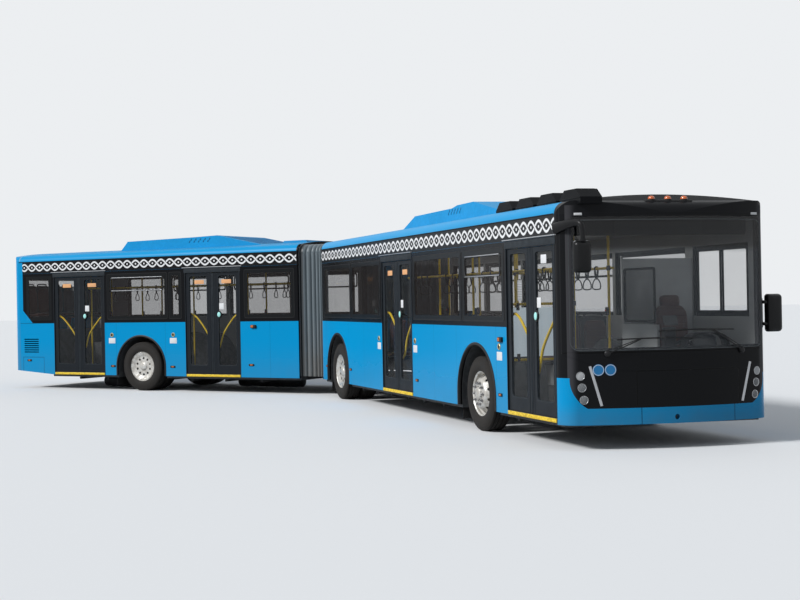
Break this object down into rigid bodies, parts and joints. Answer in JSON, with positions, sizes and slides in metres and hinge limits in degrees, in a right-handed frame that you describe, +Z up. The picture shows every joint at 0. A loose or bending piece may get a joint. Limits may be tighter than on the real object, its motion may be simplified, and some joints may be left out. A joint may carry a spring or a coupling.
{
  "type": "articulated bus",
  "caption": "Low-floor articulated city bus bent at its bellows, with double-leaf doors along one side, steered front wheels and a hinged engine lid.",
  "frame": {"origin": "middle of the footprint of the bent bus, on the ground", "axes": "+X forward along the front section, +Y to its left, +Z up"},
  "size_m": [17.4552, 7.8904, 3.01],
  "materials": {
    "body_blue": "gloss",
    "mask_black": "gloss",
    "roof_blue": "gloss",
    "floor_grey": "matt studded",
    "window_glass": "tinted",
    "screen_glass": "clear",
    "lamp_clear": "clear",
    "lamp_amber": "gloss",
    "lamp_red": "gloss",
    "trim_black": "satin",
    "door_black": "satin",
    "desk_grey": "grained",
    "cab_grey": "satin",
    "seat_fabric": "woven",
    "rail_yellow": "gloss",
    "chassis_black": "matt",
    "engine_iron": "cast",
    "tyre": "tyre rubber",
    "rim_silver": "satin",
    "bellows_grey": "satin"
  },
  "bodies": {
    "front_section": {"front_floor": "floor_grey", "front_right_panels": "body_blue", "front_left_wall": "body_blue", "front_roof": "roof_blue", "front_mask": "mask_black", "front_bumper": "body_blue", "front_lamps": "lamp_clear", "windscreen": "screen_glass", "front_windows": "window_glass", "front_ac_unit": "roof_blue", "roof_pods": "trim_black", "beacons": "lamp_amber", "mirrors": "trim_black", "wipers": "trim_black", "dashboard": "desk_grey", "cab_partition": "cab_grey", "front_seats": "seat_fabric", "front_handrails": "rail_yellow", "front_axle": "chassis_black", "mid_axle": "chassis_black", "turntable_ring": "chassis_black", "bellows": "bellows_grey"},
    "rear_section": {"rear_floor": "floor_grey", "rear_right_panels": "body_blue", "rear_left_wall": "body_blue", "rear_roof": "roof_blue", "rear_end": "body_blue", "rear_windows": "window_glass", "rear_ac_unit": "roof_blue", "rear_seats": "seat_fabric", "rear_handrails": "rail_yellow", "rear_axle": "chassis_black", "engine": "engine_iron", "turntable_plate": "chassis_black", "tail_lamps": "lamp_red"},
    "steering_knuckle_left": {"steering_knuckle_left": "chassis_black"},
    "wheel_front_left": {"tyre_front_left": "tyre", "rim_front_left": "rim_silver"},
    "wheel_mid_left": {"tyres_mid_left": "tyre", "rims_mid_left": "rim_silver"},
    "wheel_rear_left": {"tyres_rear_left": "tyre", "rims_rear_left": "rim_silver"},
    "steering_knuckle_right": {"steering_knuckle_right": "chassis_black"},
    "wheel_front_right": {"tyre_front_right": "tyre", "rim_front_right": "rim_silver"},
    "wheel_mid_right": {"tyres_mid_right": "tyre", "rims_mid_right": "rim_silver"},
    "wheel_rear_right": {"tyres_rear_right": "tyre", "rims_rear_right": "rim_silver"},
    "door_1_front_leaf": {"door_1_front_leaf": "door_black"},
    "door_1_rear_leaf": {"door_1_rear_leaf": "door_black"},
    "door_2_front_leaf": {"door_2_front_leaf": "door_black"},
    "door_2_rear_leaf": {"door_2_rear_leaf": "door_black"},
    "door_3_front_leaf": {"door_3_front_leaf": "door_black"},
    "door_3_rear_leaf": {"door_3_rear_leaf": "door_black"},
    "door_4_front_leaf": {"door_4_front_leaf": "door_black"},
    "door_4_rear_leaf": {"door_4_rear_leaf": "door_black"},
    "engine_lid": {"engine_lid": "body_blue"}
  },
  "joints": [
    {"name": "articulation", "type": "hinge", "parent": "front_section", "child": "rear_section", "pos_m": [-2.14032, 2.47632, 0.2], "axis": [0, 0, 1], "range_deg": [-94, 6], "deforming": ["bellows"]},
    {"name": "steering_left", "type": "hinge", "parent": "front_section", "child": "steering_knuckle_left", "pos_m": [5.86868, 3.43632, 0.4785], "axis": [0, 0, 1], "range_deg": [-42, 42]},
    {"name": "wheel_front_left_roll", "type": "hinge", "parent": "steering_knuckle_left", "child": "wheel_front_left", "pos_m": [5.86868, 3.56332, 0.4785], "axis": [0, 1, 0], "continuous": true},
    {"name": "wheel_mid_left_roll", "type": "hinge", "parent": "front_section", "child": "wheel_mid_left", "pos_m": [-0.53132, 3.42582, 0.4785], "axis": [0, 1, 0], "continuous": true},
    {"name": "wheel_rear_left_roll", "type": "hinge", "parent": "rear_section", "child": "wheel_rear_left", "pos_m": [-6.1326, -0.05902, 0.4785], "axis": [-0.6947, 0.7193, 0], "continuous": true},
    {"name": "steering_right", "type": "hinge", "parent": "front_section", "child": "steering_knuckle_right", "pos_m": [5.86868, 1.51632, 0.4785], "axis": [0, 0, 1], "range_deg": [-42, 42]},
    {"name": "wheel_front_right_roll", "type": "hinge", "parent": "steering_knuckle_right", "child": "wheel_front_right", "pos_m": [5.86868, 1.38932, 0.4785], "axis": [0, 1, 0], "continuous": true},
    {"name": "wheel_mid_right_roll", "type": "hinge", "parent": "front_section", "child": "wheel_mid_right", "pos_m": [-0.53132, 1.52682, 0.4785], "axis": [0, 1, 0], "continuous": true},
    {"name": "wheel_rear_right_roll", "type": "hinge", "parent": "rear_section", "child": "wheel_rear_right", "pos_m": [-4.81345, -1.42504, 0.4785], "axis": [-0.6947, 0.7193, 0], "continuous": true},
    {"name": "door_1_front", "type": "hinge", "parent": "front_section", "child": "door_1_front_leaf", "pos_m": [8.24468, 1.24132, 1.3], "axis": [0, 0, 1], "range_deg": [-90, 0]},
    {"name": "door_1_rear", "type": "hinge", "parent": "front_section", "child": "door_1_rear_leaf", "pos_m": [6.91868, 1.24132, 1.3], "axis": [0, 0, 1], "range_deg": [0, 90]},
    {"name": "door_2_front", "type": "hinge", "parent": "front_section", "child": "door_2_front_leaf", "pos_m": [3.38368, 1.24132, 1.3], "axis": [0, 0, 1], "range_deg": [-90, 0]},
    {"name": "door_2_rear", "type": "hinge", "parent": "front_section", "child": "door_2_rear_leaf", "pos_m": [2.02768, 1.24132, 1.3], "axis": [0, 0, 1], "range_deg": [0, 90]},
    {"name": "door_3_front", "type": "hinge", "parent": "rear_section", "child": "door_3_front_leaf", "pos_m": [-2.92755, -0.00075, 1.3], "axis": [0, 0, 1], "range_deg": [-90, 0]},
    {"name": "door_3_rear", "type": "hinge", "parent": "rear_section", "child": "door_3_rear_leaf", "pos_m": [-3.80299, -0.84615, 1.3], "axis": [0, 0, 1], "range_deg": [0, 90]},
    {"name": "door_4_front", "type": "hinge", "parent": "rear_section", "child": "door_4_front_leaf", "pos_m": [-5.28483, -2.27714, 1.3], "axis": [0, 0, 1], "range_deg": [-90, 0]},
    {"name": "door_4_rear", "type": "hinge", "parent": "rear_section", "child": "door_4_rear_leaf", "pos_m": [-6.20342, -3.16422, 1.3], "axis": [0, 0, 1], "range_deg": [0, 90]},
    {"name": "engine_lid_hinge", "type": "hinge", "parent": "rear_section", "child": "engine_lid", "pos_m": [-7.89001, -3.07608, 1.194], "axis": [-0.6947, 0.7193, 0], "range_deg": [0, 85]}
  ],
  "couplings": [
    {"joint": "steering_right", "follows": "steering_left", "ratio": 1},
    {"joint": "door_1_rear", "follows": "door_1_front", "ratio": -1},
    {"joint": "door_2_rear", "follows": "door_2_front", "ratio": -1},
    {"joint": "door_3_rear", "follows": "door_3_front", "ratio": -1},
    {"joint": "door_4_rear", "follows": "door_4_front", "ratio": -1}
  ]
}
